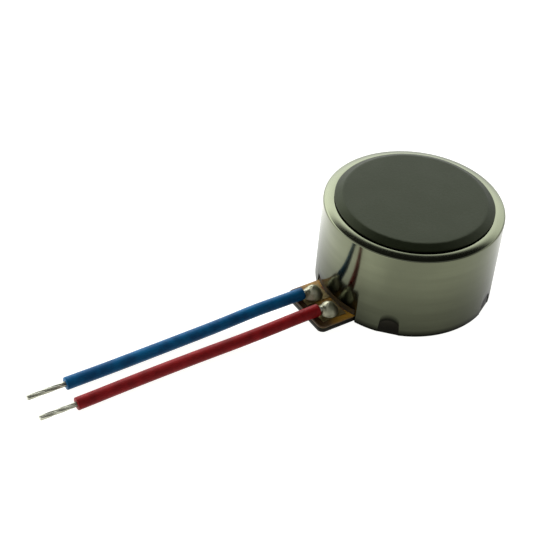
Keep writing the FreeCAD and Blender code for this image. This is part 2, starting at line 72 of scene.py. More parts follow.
Triple = Tuple[float, float, float]
Object, Mesh, Material, Socket = bpy.types.Object, bpy.types.Mesh, bpy.types.Material, bpy.types.NodeSocket
Input = Union[float, int, Material]
Value = Union[float, int, bool, Sequence[float], Socket, Material]


class Bench:
    """Adds nodes to one tree and wires them up."""

    def __init__(self, tree: bpy.types.NodeTree) -> None:
        """Start on an empty tree."""
        self.tree = tree
        tree.nodes.clear()

    def add(self, kind: str, inputs: Optional[Dict[Union[int, str], Value]] = None,
            **settings: object) -> bpy.types.Node:
        """Add a node, and set or wire its inputs.

        Args:
            kind: the node's type name.
            inputs: socket name or number to a constant or to another node's output.
            settings: the node's own properties.

        Returns:
            The new node.
        """
        node = self.tree.nodes.new(kind)
        for name, value in settings.items():
            setattr(node, name, value)
        for key, value in (inputs or {}).items():
            if isinstance(value, Socket):
                self.tree.links.new(value, node.inputs[key])
            else:
                node.inputs[key].default_value = value
        return node

    def get(self, kind: str, inputs: Optional[Dict[Union[int, str], Value]] = None, **settings: object) -> Socket:
        """Add a node as add does, and return its first output."""
        return self.add(kind, inputs, **settings).outputs[0]

    def number(self, operation: str, *values: Value) -> Socket:
        """Work out one number from others with a Math node."""
        return self.get("ShaderNodeMath", dict(enumerate(values)), operation=operation)

    def arrow(self, operation: str, *values: Value) -> Socket:
        """Work out a vector, a length or a dot product with a Vector Math node.

        Args:
            operation: the node's operation; SCALE takes its factor last.
            values: constants or outputs.

        Returns:
            The result's socket.
        """
        slots = [0, 3] if operation == "SCALE" else range(len(values))
        node = self.add("ShaderNodeVectorMath", dict(zip(slots, values)), operation=operation)
        return node.outputs[1 if operation in ("DOT_PRODUCT", "LENGTH") else 0]

    def out(self, place: Value) -> Socket:
        """Work out how far a place is from the shaft's axis."""
        return self.arrow("LENGTH", self.arrow("MULTIPLY", place, (1, 1, 0)))

    def split(self, arrow: Value) -> Sequence[Socket]:
        """Take a vector's three numbers apart."""
        return self.add("ShaderNodeSeparateXYZ", {0: arrow}).outputs

    def combine(self, x: Value, y: Value, z: Value) -> Socket:
        """Put three numbers together as a vector."""
        return self.get("ShaderNodeCombineXYZ", {0: x, 1: y, 2: z})

    def stretch(self, place: Value, scale: Triple) -> Socket:
        """Scale a place along each axis."""
        return self.get("ShaderNodeMapping", {0: place, 3: scale})

    def noise(self, place: Value, scale: float, detail: float = 2.0) -> Socket:
        """Make soft noise from 0 to 1, in lumps about one over the scale wide."""
        return self.get("ShaderNodeTexNoise", {"Vector": place, "Scale": scale, "Detail": detail})

    def ramp(self, value: Value, low: float, high: float, first: Value = 0.0, last: Value = 1.0,
             kind: str = "LINEAR") -> Socket:
        """Map a number from low..high to first..last, held inside it; kind is LINEAR or SMOOTHSTEP."""
        return self.get("ShaderNodeMapRange", {0: value, 1: low, 2: high, 3: first, 4: last},
                        interpolation_type=kind)

    def blend(self, share: Value, first: Value, second: Value) -> Socket:
        """Mix two colours, with a share from 0 to 1 of the second."""
        first, second = (c if isinstance(c, Socket) else (*c, 1) for c in (first, second))
        return self.add("ShaderNodeMix", {0: share, 6: first, 7: second}, data_type="RGBA").outputs[2]


# --- finishes


class Grain(Enum):
    """The fine pattern that a finish has in its surface."""

    DRAWN = "lines up the wall of a deep-drawn cup"
    ROLLED = "lines along the strip that a flat part was stamped from"
    TURNED = "rings left by a lathe"
    CAST = "soft lumps"
    CELLS = "pores of a closed-cell foam"
    POWDER = "tight pits of pressed powder"
    WEAVE = "glass cloth in a laminate"


UNROLL_RADIUS = 5.0      # millimetres: where a place round the axis is unrolled at its true length
UNROLL_LEAN = 0.2        # how much of the distance out counts as height there, so that flat tops have a grain too
CLOUDS = (0.35, 0.65)    # the noise from which the first colour gives way to the second
GRAIN_SHARE = 0.4        # how much of the gloss follows the grain; the rest follows the clouds
GLOSS = (0.3, 0.7)       # the mix of both from which the first roughness gives way to the second
GLOW_DEPTH = 0.15        # millimetres that light goes into a white polymer


@dataclass(frozen=True)
class Finish:
    """A surface finish: two colours that it is mottled with, its gloss, and its grain. Lengths are in millimetres."""

    name: str
    colour: Triple
    mottle: Triple
    grain: Grain
    grain_size: float = 0.05
    grain_depth: float = 0.001
    patch: float = 1.2
    rough: Tuple[float, float] = (0.4, 0.5)
    metallic: float = 0.0
    specular: float = 0.5
    specular_tint: Triple = (1.0, 1.0, 1.0)
    coat: float = 0.0
    coat_rough: float = 0.1
    subsurface: float = 0.0

    def height(self, bench: Bench, place: Socket) -> Socket:
        """Make the grain's height, from 0 to 1.

        Args:
            bench: the material's bench.
            place: the point on the piece, in millimetres.

        Returns:
            The height's socket.
        """
        fine = 1 / self.grain_size
        spot = {"Vector": place, "Scale": fine / 6}
        if self.grain is Grain.DRAWN:
            return bench.noise(bench.stretch(self.round_the_axis(bench, place), (fine, fine, fine * 0.03)), 1.0)
        if self.grain is Grain.ROLLED:
            return bench.noise(bench.stretch(place, (fine * 0.04, fine, fine)), 1.0, 3.0)
        if self.grain is Grain.TURNED:
            return bench.add("ShaderNodeTexWave", {**spot, "Distortion": 0.6, "Detail": 2.0},
                             wave_type="RINGS", rings_direction="Z").outputs[1]
        if self.grain is Grain.WEAVE:
            threads = [bench.add("ShaderNodeTexWave", spot, bands_direction=way).outputs[1] for way in "XY"]
            return bench.number("MULTIPLY", *threads)
        if self.grain is Grain.CAST:
            return bench.get("ShaderNodeTexNoise", {"Vector": place, "Scale": fine / 2, "Detail": 4.0,
                                                    "Roughness": 0.45})
        pits = bench.add("ShaderNodeTexVoronoi", {"Vector": place, "Scale": fine}).outputs["Distance"]
        if self.grain is Grain.CELLS:
            return bench.number("MULTIPLY_ADD", pits, 0.6, bench.noise(place, fine / 3, 3.0))
        return pits

    @staticmethod
    def round_the_axis(bench: Bench, place: Socket) -> Socket:
        """Unroll a point round the shaft's axis.

        Args:
            bench: the material's bench.
            place: the point, in millimetres.

        Returns:
            The place round the axis, as two numbers so that it has no seam, and the height, in millimetres.
        """
        x, y, _ = bench.split(bench.arrow("NORMALIZE", bench.arrow("MULTIPLY", place, (1, 1, 0))))
        height = bench.number("ADD", bench.split(place)[2], bench.number("MULTIPLY", bench.out(place), UNROLL_LEAN))
        return bench.combine(bench.number("MULTIPLY", x, UNROLL_RADIUS), bench.number("MULTIPLY", y, UNROLL_RADIUS),
                             height)

    def tint(self, bench: Bench, place: Socket, colour: Socket) -> Socket:
        """Leave the colour as it is; a finish with stains or traces of its own changes it here."""
        return colour

    def material(self) -> Material:
        """Build the material, or fetch it if it is built already.

        Returns:
            The Blender material.
        """
        made = bpy.data.materials.get(self.name)
        if made is not None:
            return made
        made = bpy.data.materials.new(self.name)
        made.use_nodes = True
        bench = Bench(made.node_tree)
        place = bench.stretch(bench.add("ShaderNodeTexCoord").outputs["Object"], (1000, 1000, 1000))
        clouds = bench.noise(place, 1 / self.patch, 3.0)
        colour = self.tint(bench, place, bench.blend(bench.ramp(clouds, *CLOUDS), self.colour, self.mottle))
        height = self.height(bench, place)
        mix = bench.number("MULTIPLY_ADD", height, GRAIN_SHARE, bench.number("MULTIPLY", clouds, 1 - GRAIN_SHARE))
        bump = bench.get("ShaderNodeBump", {"Height": height, "Distance": self.grain_depth * MM, "Strength": 1.0})
        shader = bench.get("ShaderNodeBsdfPrincipled", {
            "Base Color": colour, "Roughness": bench.ramp(mix, *GLOSS, *self.rough), "Normal": bump,
            "Metallic": self.metallic, "Specular IOR Level": self.specular,
            "Specular Tint": (*self.specular_tint, 1.0), "Coat Weight": self.coat, "Coat Roughness": self.coat_rough,
            "Subsurface Weight": self.subsurface, "Subsurface Scale": GLOW_DEPTH * MM})
        bench.add("ShaderNodeOutputMaterial", {"Surface": shader}).is_active_output = True
        return made


@dataclass(frozen=True)
class CanFinish(Finish):
    """Bright deep-drawn steel with faint bands of tone round it, with painted shade that darkens it along its cut
    lower edge, round the notches too.
    """

    bands: Triple = (0.04, 0.04, 1.5)
    band_range: Tuple[float, float] = (0.42, 0.62)
    band_tone: float = 0.84
    # Painted shade along the lower edge: where it fades out, and how dark it gets.
    edge_shade_range: Tuple[float, float] = (0.10, 0.46)
    edge_shade_tone: float = 0.12

    def tint(self, bench: Bench, place: Socket, colour: Socket) -> Socket:
        """Add the bands, and darken the wall towards its cut edge with painted shade.

        Args:
            bench: the material's bench.
            place: the point, in millimetres.
            colour: the colour so far.

        Returns:
            The colour with both.
        """
        band, edge_shade_colour = (tuple(c * tone for c in self.colour) for tone in (self.band_tone, self.edge_shade_tone))
        bands = bench.noise(bench.stretch(place, self.bands), 1.0)
        # Painted shade: the wall darkens to about an eighth of its colour at its lower edge, fading out 0.46 mm above
        # it.
        edge = bench.add("ShaderNodeAttribute", attribute_name="from_edge").outputs["Fac"]
        banded = bench.blend(bench.ramp(bands, *self.band_range), colour, band)
        return bench.blend(bench.ramp(edge, *self.edge_shade_range, 1.0, 0.0), banded, edge_shade_colour)


@dataclass(frozen=True)
class BaseFinish(Finish):
    """Stamped steel, painted nearly black outside the can where the ears are staked and the tongue is cut, as painted
    shade in the notch gaps and at the tab's root.
    """

    # Painted shade outside the can's bore: where it starts, how much of it, and its colour.
    painted_shade_range: Tuple[float, float] = (4.70, 4.86)
    painted_shade_share: float = 0.92
    black: Triple = (0.012, 0.011, 0.008)

    def tint(self, bench: Bench, place: Socket, colour: Socket) -> Socket:
        """Paint shade, nearly black, on what stands outside the can's bore."""
        # Painted shade: past 4.70 to 4.86 mm from the axis the steel goes nearly black.
        return bench.blend(bench.ramp(bench.out(place), *self.painted_shade_range, 0.0, self.painted_shade_share), colour, self.black)


@dataclass(frozen=True)
class FilmFinish(Finish):
    """Amber film over copper tracks that show as darker stripes along the tab, with painted shade darkening it past
    the joints.
    """

    track: Triple = (0.15, 0.045, 0.010)
    track_place: float = 0.775
    track_half: float = 0.34
    track_blur: float = 0.03
    # Painted shade on the tab's end past the joints: its colour, where it fades in, and how much.
    tip_shade: Triple = (0.030, 0.015, 0.007)
    tip_shade_range: Tuple[float, float] = (5.55, 6.35)
    tip_shade_share: float = 0.9

    def tint(self, bench: Bench, place: Socket, colour: Socket) -> Socket:
        """Show the two tracks through the film, and paint shade on it past the joints.

        Args:
            bench: the material's bench.
            place: the point, in millimetres.
            colour: the colour so far.

        Returns:
            The colour with both.
        """
        across = bench.number("ABSOLUTE", bench.split(place)[1])
        off = bench.number("ABSOLUTE", bench.number("SUBTRACT", across, self.track_place))
        track = bench.ramp(off, self.track_half - self.track_blur, self.track_half + self.track_blur, 1.0, 0.0,
                           "SMOOTHSTEP")
        along = bench.arrow("LENGTH", bench.arrow("MULTIPLY", place, (1, 0.25, 0)))
        # Painted shade: the film darkens past the joints, from 5.55 to 6.35 mm out.
        tip_shaded = bench.ramp(along, *self.tip_shade_range, 0.0, self.tip_shade_share, "SMOOTHSTEP")
        return bench.blend(tip_shaded, bench.blend(track, colour, self.track), self.tip_shade)


@dataclass(frozen=True)
class SleeveFinish(Finish):
    """Coloured wire insulation with faint lines drawn out along it by the extruder."""

    def height(self, bench: Bench, place: Socket) -> Socket:
        """Stretch the grain along the lead, on the sleeve's own map, over slower lumps."""
        lines = bench.noise(bench.stretch(bench.get("ShaderNodeUVMap", uv_map="along_lead"), (26, 0.9, 1)),
                            1.0)
        return bench.number("MULTIPLY_ADD", lines, 0.5, bench.number("MULTIPLY", bench.noise(place, 1.6), 0.5))


CAN_STEEL = CanFinish("can_bright_steel", (0.122, 0.131, 0.086), (0.106, 0.114, 0.075), Grain.DRAWN, 0.07, 0.00012,
                      2.2, (0.10, 0.16), 1.0)
BASE_STEEL = BaseFinish("base_stamped_steel", (0.11, 0.105, 0.085), (0.075, 0.07, 0.06), Grain.ROLLED, 0.06, 0.0006,
                    1.4, (0.28, 0.42), 1.0)
FILM = FilmFinish("film_amber_polyimide", (0.36, 0.185, 0.018), (0.26, 0.130, 0.016), Grain.CAST, 0.35, 0.002,
                  0.7, (0.40, 0.52), specular=0.18)
FILM_GLUE = Finish("film_glue", (0.20, 0.13, 0.05), (0.14, 0.09, 0.04), Grain.CAST, 0.12, 0.002, 0.6, (0.45, 0.6))
COPPER = Finish("tinned_copper_pads", (0.26, 0.20, 0.085), (0.18, 0.135, 0.055), Grain.CAST, 0.3, 0.002, 0.8,
                (0.45, 0.60), 0.9)
SEAL = Finish("seal_dark_resin", (0.046, 0.029, 0.009), (0.022, 0.015, 0.006), Grain.CAST, 0.2, 0.004, 0.6,
              (0.42, 0.60), specular=0.2)
SOLDER = Finish("solder_dull_tin", (0.44, 0.43, 0.31), (0.27, 0.27, 0.19), Grain.CAST, 0.16, 0.008, 0.3,
                (0.42, 0.60), 1.0)
BLUE_SLEEVE = SleeveFinish("sleeve_blue", (0.0010, 0.110, 0.260), (0.0007, 0.062, 0.165), Grain.CAST, 0.1, 0.003, 0.7,
                           (0.44, 0.56), specular=0.12)
RED_SLEEVE = SleeveFinish("sleeve_red", (0.285, 0.0085, 0.0105), (0.180, 0.0045, 0.0054), Grain.CAST, 0.1, 0.003, 0.7,
                          (0.44, 0.56), specular=0.12)
TINNED = Finish("tinned_strand", (0.37, 0.37, 0.30), (0.23, 0.23, 0.185), Grain.CAST, 0.06, 0.002, 0.5,
                (0.34, 0.50), 1.0)
MAGNET = Finish("nickel_plated_magnet", (0.46, 0.45, 0.42), (0.36, 0.35, 0.33), Grain.POWDER, 0.05, 0.0015, 0.8,
                (0.22, 0.36), 1.0)
SHAFT = Finish("ground_shaft_steel", (0.55, 0.55, 0.56), (0.45, 0.45, 0.46), Grain.TURNED, 0.05, 0.0004, 0.6,
               (0.10, 0.18), 1.0)
BRASS = Finish("turned_brass", (0.60, 0.42, 0.14), (0.50, 0.34, 0.11), Grain.TURNED, 0.07, 0.0008, 0.7,
               (0.20, 0.32), 1.0)
WASHER = Finish("washer_white_polymer", (0.62, 0.61, 0.57), (0.52, 0.51, 0.47), Grain.CAST, 0.08, 0.001, 0.5,
                (0.35, 0.5), subsurface=0.1)
BRUSH = Finish("brush_spring_alloy", (0.56, 0.46, 0.28), (0.48, 0.38, 0.22), Grain.ROLLED, 0.04, 0.0006, 0.5,
               (0.20, 0.32), 1.0)
BUSH = Finish("sintered_bronze_bush", (0.40, 0.24, 0.11), (0.28, 0.16, 0.07), Grain.POWDER, 0.05, 0.004, 0.4,
              (0.35, 0.5), 1.0)
BOARD = Finish("glass_board_green", (0.015, 0.085, 0.035), (0.020, 0.105, 0.045), Grain.WEAVE, 0.16, 0.003, 0.8,
               (0.30, 0.42), coat=0.3)
WIRE = Finish("enamelled_coil_wire", (0.50, 0.16, 0.045), (0.40, 0.11, 0.03), Grain.CAST, 0.08, 0.0008, 0.5,
              (0.18, 0.3), 0.85, coat=0.6)
MOULD = Finish("moulded_black_plastic", (0.018, 0.018, 0.02), (0.026, 0.026, 0.028), Grain.CAST, 0.06, 0.004, 0.9,
               (0.38, 0.52))
TUNGSTEN = Finish("pressed_tungsten", (0.22, 0.22, 0.23), (0.15, 0.15, 0.155), Grain.POWDER, 0.06, 0.005, 0.6,
                  (0.38, 0.55), 1.0)
PAD_GLUE = Finish("pad_glue_film", (0.05, 0.05, 0.04), (0.035, 0.035, 0.03), Grain.CAST, 0.15, 0.003, 0.8, (0.35, 0.5))
FOAM = Finish("pad_black_foam", (0.0018, 0.0026, 0.0010), (0.0034, 0.0046, 0.0019), Grain.CELLS, 0.05, 0.004, 1.6,
              (0.46, 0.54), specular=0.222, specular_tint=(0.80, 1.0, 0.40))


# --- making meshes


def in_scene(name: str, data: bpy.types.ID) -> Object:
    """Make an object of a mesh, a curve or a camera, and link it.

    Args:
        name: the object's name.
        data: what it shows.

    Returns:
        The object, at the origin.
    """
    made = bpy.data.objects.new(name, data)
    bpy.context.scene.collection.objects.link(made)
    return made


def draw_line(name: str, kind: str, points: Sequence[Sequence[float]]) -> Object:
    """Draw an open line with no thickness.

    Args:
        name: the line's name.
        kind: POLY for straight runs, or NURBS for a smooth line that these points control.
        points: x, y and z of each, and after them the radius to round it by where it has one, in millimetres.

    Returns:
        The curve object.
    """
    data = bpy.data.curves.new(name, "CURVE")
    data.dimensions = "3D"
    line = data.splines.new(kind)
    line.points.add(len(points) - 1)
    for point, (x, y, z, *rounding) in zip(line.points, points):
        point.co = (x * MM, y * MM, z * MM, 1)
        if rounding:
            point.radius = rounding[0] * MM
    if kind == "NURBS":
        line.order_u, line.use_endpoint_u, line.resolution_u = 3, True, 24
    return in_scene(name, data)


def place_piece(name: str, mesh: Mesh, finish: Finish, crease: float, body: str, node: str) -> Object:
    """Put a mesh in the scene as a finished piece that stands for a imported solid, and log it.

    Args:
        name: the piece's name.
        mesh: its mesh, already in place.
        finish: its finish.
        crease: faces that meet at more than this many degrees keep a sharp edge.
        body: the body that it moves with.
        node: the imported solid.

    Returns:
        The piece, at the origin.
    """
    piece = in_scene(name, mesh)
    mesh.name = name
    if not mesh.materials:
        mesh.materials.append(finish.material())
    mesh.shade_smooth()
    mesh.set_sharp_from_angle(angle=radians(crease))
    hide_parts(node)
    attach(piece, body)
    LOG.info("%s rides on %s, %d faces", piece.name, body, len(mesh.polygons))
    return piece


def settle(mesh: Mesh, flatten: float = 0.0) -> Mesh:
    """Merge doubled points, then turn every face outwards or join the faces of each flat.

    Args:
        mesh: a closed mesh.
        flatten: over 0, faces that meet at less than this many degrees become one, and keep the way they face.

    Returns:
        The same mesh.
    """
    work = bmesh.new()
    work.from_mesh(mesh)
    bmesh.ops.remove_doubles(work, verts=work.verts, dist=MERGE)
    if flatten:
        bmesh.ops.dissolve_limit(work, angle_limit=radians(flatten), verts=work.verts, edges=work.edges)
    else:
        bmesh.ops.recalc_face_normals(work, faces=work.faces)
    work.to_mesh(mesh)
    work.free()
    return mesh


def plain_mesh(piece: Object) -> Mesh:
    """Turn what an object shows, with its modifiers, into a plain mesh, and remove the object.

    Args:
        piece: a mesh or curve object.

    Returns:
        The mesh.
    """
    bpy.context.view_layer.update()
    graph = bpy.context.evaluated_depsgraph_get()
    mesh = bpy.data.meshes.new_from_object(piece.evaluated_get(graph), preserve_all_data_layers=True, depsgraph=graph)
    bpy.data.objects.remove(piece)
    return mesh


def loft(rings: Sequence[np.ndarray], closed: bool) -> Mesh:
    """Join rings of points with faces.

    Args:
        rings: arrays of the same number of points.
        closed: join the last ring to the first; otherwise each end is capped.

    Returns:
        A closed mesh.
    """
    count, last = len(rings[0]), len(rings) - 1
    faces: List[Tuple[int, ...]] = []
    for a, b in [(k, k + 1) for k in range(last)] + ([(last, 0)] if closed else []):
        faces += [(a * count + i, a * count + (i + 1) % count, b * count + (i + 1) % count, b * count + i)
                  for i in range(count)]
    if not closed:
        faces += [tuple(range(count)), tuple(range(last * count, (last + 1) * count))]
    mesh = bpy.data.meshes.new("loft")
    mesh.from_pydata([tuple(p) for p in np.concatenate(rings)], [], faces)
    return settle(mesh)


def eased_copy(name: str, node: str, finish: Finish, ease: float, body: str) -> None:
    """Stand a copy with eased edges, as a tool or a mould leaves them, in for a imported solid.

    Args:
        name: the new piece's name.
        node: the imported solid.
        finish: the copy's finish.
        ease: the width of the eased edge, in millimetres.
        body: the body that it moves with.
    """
    mesh = frame["nodes"][node].data.copy()
    mesh.materials.clear()
    draft = in_scene(name + "_draft", settle(mesh, flatten=0.6))
    bevel = draft.modifiers.new("ease", "BEVEL")
    bevel.width, bevel.segments, bevel.use_clamp_overlap = ease * MM, 2, True
    bevel.limit_method, bevel.angle_limit = "ANGLE", radians(38)
    place_piece(name, plain_mesh(draft), finish, 30.0, body, node)


def dress(finish: Finish, *nodes: str) -> None:
    """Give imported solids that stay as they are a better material.

    Args:
        finish: the finish.
        nodes: the solids' names.
    """
    for node in nodes:
        for slot in frame["nodes"][node].material_slots:
            slot.material = finish.material()
        LOG.info("%s keeps its shape and takes %s", node, finish.name)


class Recipe:
    """A Geometry Nodes tree with named inputs, run once on an object."""

    KINDS = {float: "NodeSocketFloat", int: "NodeSocketInt", Material: "NodeSocketMaterial"}

    def __init__(self, name: str, **inputs: Input) -> None:
        """Make the tree and its inputs.

        Args:
            name: the tree's name.
            inputs: each input's name and value; lengths are in metres.
        """
        self.tree = bpy.data.node_groups.new(name, "GeometryNodeTree")
        self.bench = Bench(self.tree)
        self.values = inputs
        face = self.tree.interface
        for way in ("INPUT", "OUTPUT"):
            face.new_socket("Geometry", in_out=way, socket_type="NodeSocketGeometry")
        self.ids = {key: face.new_socket(key, in_out="INPUT", socket_type=self.KINDS[type(value)]).identifier
                    for key, value in inputs.items()}
        group = self.bench.add("NodeGroupInput")
        self.start = group.outputs[0]
        self.given = group.outputs

    def join(self, *shapes: Socket) -> Socket:
        """Join geometries into one.

        Args:
            shapes: the geometries, in order.

        Returns:
            The whole.
        """
        node = self.bench.add("GeometryNodeJoinGeometry")
        for shape in shapes:
            self.bench.tree.links.new(shape, node.inputs[0])
        return node.outputs[0]

    def rods(self, lines: Socket, radius: str) -> Socket:
        """Turn lines into closed round rods.

        Args:
            lines: the curves.
            radius: the name of the input that holds the rods' radius; Sides holds how many sides they have.

        Returns:
            The rods.
        """
        section = self.bench.get("GeometryNodeCurvePrimitiveCircle", {"Resolution": self.given["Sides"],
                                                                      "Radius": self.given[radius]})
        return self.bench.get("GeometryNodeCurveToMesh", {0: lines, 1: section, "Fill Caps": True})

    def run(self, geometry: Socket, piece: Object) -> Mesh:
        """End the tree with its instances made real and its material set, and run it on an object.

        Args:
            geometry: what the tree makes.
            piece: the object that it starts from, which is removed.

        Returns:
            What the tree made, as a plain mesh.
        """
        real = self.bench.get("GeometryNodeRealizeInstances", {0: geometry})
        dressed = self.bench.get("GeometryNodeSetMaterial", {"Geometry": real,
                                                             "Material": self.given["Material"]})
        self.bench.add("NodeGroupOutput", {0: dressed})
        modifier = piece.modifiers.new(self.tree.name, "NODES")
        modifier.node_group = self.tree
        for key, identifier in self.ids.items():
            modifier[identifier] = self.values[key]
        return plain_mesh(piece)


# --- studio


@dataclass
class Studio:
    """Camera, floor and light. Lengths are in millimetres and angles in degrees."""

    target: Triple = (-6.083, 3.980, -0.364)
    azimuth: float = -35.5
    elevation: float = 40.17
    roll: float = 4.748
    distance: float = 79.17
    lens: float = 90.79
    floor_radius: float = 3000.0
    floor_gap: float = 0.01
    floor_dull: float = 0.10
    floor_glow: float = 0.85
    # What glossy rays see of the floor is painted: a painted shadow near the axis, and a painted glint that brightens
    # its left side.
    shadow_in_reflection: Tuple[float, float] = (5.0, 9.5)
    shadow_in_reflection_share: float = 0.15
    glint_across: Tuple[float, float] = (-9.0, -3.0)
    glint_sides: Tuple[float, float] = (1.75, 0.90)
    bright: float = 5.8
    dim: float = 0.06
    flag_height: float = 60.0
    flag_edge: Tuple[float, float] = (80.0, 66.0)
    front_low: float = 1.0
    front_edge: Tuple[float, float] = (36.0, 48.0)
    lean: Tuple[float, float] = (1.25, 0.44)
    low_sky: Tuple[float, float, float] = (0.05, 0.55, 0.35)
    backdrop: float = 0.97

    def towards(self, height: float) -> Vector:
        """Point from the target to the camera's side, at a height in degrees above the floor."""
        a, e = radians(self.azimuth), radians(height)
        return Vector((sin(a) * cos(e), -cos(a) * cos(e), sin(e)))

    def right(self) -> Vector:
        """Point level to the camera's right."""
        return Vector((cos(radians(self.azimuth)), sin(radians(self.azimuth)), 0))

    def camera(self) -> None:
        """Place the camera on a ray from the target, and make it the scene's."""
        back, right, roll = self.towards(self.elevation), self.right(), radians(self.roll)
        up = back.cross(right)
        x_axis = right * cos(roll) + up * sin(roll)
        y_axis = up * cos(roll) - right * sin(roll)
        data = bpy.data.cameras.new("camera")
        data.lens, data.sensor_width = self.lens, 36.0
        data.clip_start, data.clip_end = 0.001, 20.0
        camera = in_scene("camera", data)
        turn = Matrix((x_axis, y_axis, back)).transposed().to_4x4()
        place = Vector(self.target) * MM + back * (self.distance * MM)
        camera.matrix_world = Matrix.Translation(place) @ turn
        bpy.context.scene.camera = camera

    def floor(self) -> None:
        """Lay a plain pale floor just under the motor, which glows a little as a sheet lit from all round does; its
        glow as the can's shine reflects it is painted, with painted shadow near the can and a painted glint on its
        left.
        """
        mesh = bpy.data.meshes.new("floor")
        work = bmesh.new()
        bmesh.ops.create_circle(work, cap_ends=True, segments=96, radius=self.floor_radius * MM,
                                matrix=Matrix.Translation((0, 0, -self.floor_gap * MM)))
        work.to_mesh(mesh)
        work.free()
        material = bpy.data.materials.new("floor_pale_card")
        material.use_nodes = True
        bench = Bench(material.node_tree)
        place = bench.add("ShaderNodeTexCoord").outputs["Object"]
        colour = bench.blend(bench.noise(place, 900.0), (0.39, 0.39, 0.375), (0.41, 0.41, 0.395))
        inner, outer, left, right = (v * MM for v in (*self.shadow_in_reflection, *self.glint_across))
        # Painted shadow: glossy rays see the floor dimmer near the can, from 5 to 9.5 mm out. Painted glint: brighter
        # towards the left.
        near = bench.ramp(bench.arrow("LENGTH", place), inner, outer, self.shadow_in_reflection_share, 1.0)
        across = bench.ramp(bench.arrow("DOT_PRODUCT", place, self.right()), left, right, *self.glint_sides)
        path = bench.add("ShaderNodeLightPath").outputs
        seen = bench.number("MULTIPLY", path["Is Camera Ray"], self.floor_glow)
        painted_reflection = bench.number("MULTIPLY", path["Is Glossy Ray"], bench.number("MULTIPLY", near, across))
        glow = bench.number("ADD", self.floor_dull, bench.number("ADD", seen, painted_reflection))
        shader = bench.get("ShaderNodeBsdfPrincipled", {
            "Base Color": colour, "Roughness": 0.9, "Specular IOR Level": 0.1, "Emission Color": (1, 1, 0.97, 1),
            "Emission Strength": glow})
        bench.add("ShaderNodeOutputMaterial", {"Surface": shader})
        mesh.materials.append(material)
        in_scene("floor", mesh)

    def light(self) -> None:
        """Light the scene with a soft dome, brightest behind and to the left, dim high in front and low all round."""
        world = bpy.data.worlds.new("soft_dome")
        world.use_nodes = True
        bench = Bench(world.node_tree)
        way = bench.arrow("NORMALIZE", bench.add("ShaderNodeTexCoord").outputs["Generated"])
        high = bench.split(way)[2]
        low, top = (sin(radians(v)) for v in self.front_edge)
        front = bench.ramp(high, low, top, self.front_low, self.dim)
        inner, outer = (cos(radians(v)) for v in self.flag_edge)
        dome = bench.ramp(bench.arrow("DOT_PRODUCT", way, self.towards(self.flag_height)), inner, outer,
                          self.bright, front, "SMOOTHSTEP")
        lean = bench.ramp(bench.arrow("DOT_PRODUCT", way, self.right()), -0.9, 0.9, *self.lean)
        sky = bench.ramp(high, *self.low_sky, 1.0, "SMOOTHSTEP")
        strength = bench.number("MULTIPLY", dome, bench.number("MULTIPLY", lean, sky))
        lamp = bench.get("ShaderNodeBackground", {"Color": (0.96, 0.98, 1.0, 1), "Strength": strength})
        plain = bench.get("ShaderNodeBackground", {"Color": (1, 1, 1, 1), "Strength": self.backdrop})
        seen = bench.add("ShaderNodeLightPath").outputs["Is Camera Ray"]
        both = bench.get("ShaderNodeMixShader", {0: seen, 1: lamp, 2: plain})
        bench.add("ShaderNodeOutputWorld", {"Surface": both})
        bpy.context.scene.world = world
        bpy.context.scene.view_settings.view_transform = "Standard"


# --- leads


